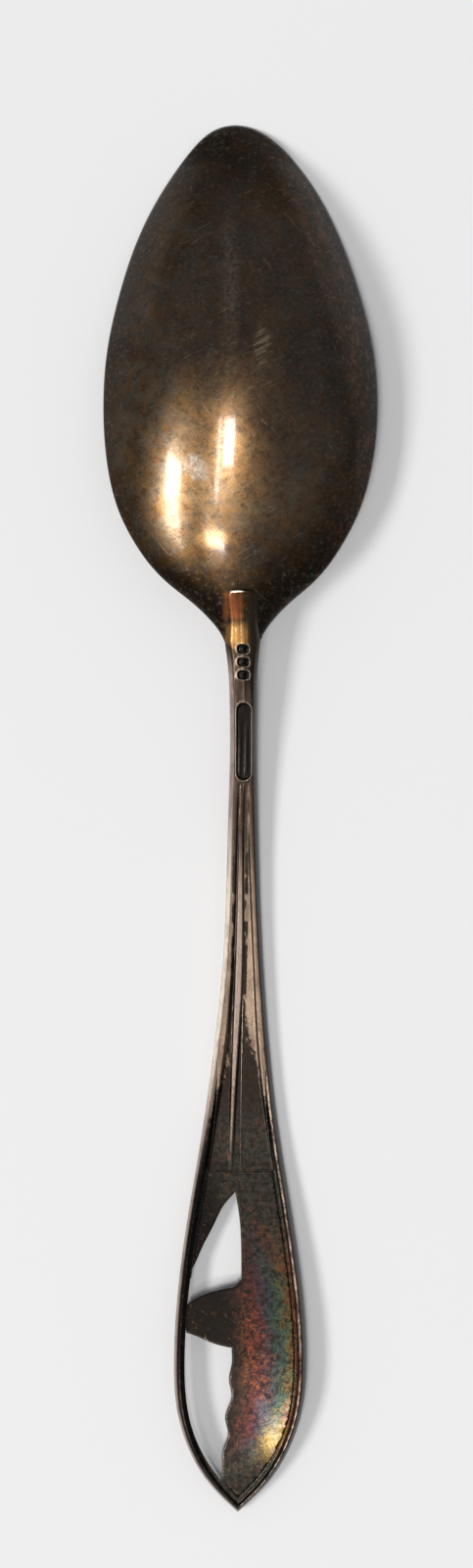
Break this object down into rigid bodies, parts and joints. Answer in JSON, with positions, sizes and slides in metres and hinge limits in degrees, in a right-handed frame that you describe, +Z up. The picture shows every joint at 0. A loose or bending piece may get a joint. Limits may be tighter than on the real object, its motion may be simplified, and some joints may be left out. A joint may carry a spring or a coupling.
{
  "type": "souvenir spoon",
  "caption": "Tarnished silver souvenir spoon, face down: plain pointed bowl, slim stem with a bright rib, and a pierced pointed-oval handle end with a raised border.",
  "frame": {"origin": "under the middle of the spoon, at the level of the surface that it lies on", "axes": "the spoon lies face down; +Y points to the bowl's tip, -Y to the handle's point, +Z up out of the spoon's back; the openings are on -X"},
  "size_m": [0.0288, 0.146, 0.0112],
  "materials": {
    "bowl_silver": "old silver, brown tarnish with rubbed highlights",
    "stem_silver": "old silver, rubbed rims and rib, black channels",
    "border_silver": "old silver, dark tarnish with a bright rubbed rim",
    "plaque_silver": "old silver, many-coloured tarnish",
    "solder": "silver solder, blackened"
  },
  "bodies": {
    "root": {"bowl": "bowl_silver", "stem": "stem_silver", "terminal_border": "border_silver", "relief_plaque": "plaque_silver", "bowl_solder_seam": "solder", "plaque_solder_seam": "solder", "bridge_solder_seam": "solder"}
  },
  "joints": []
}
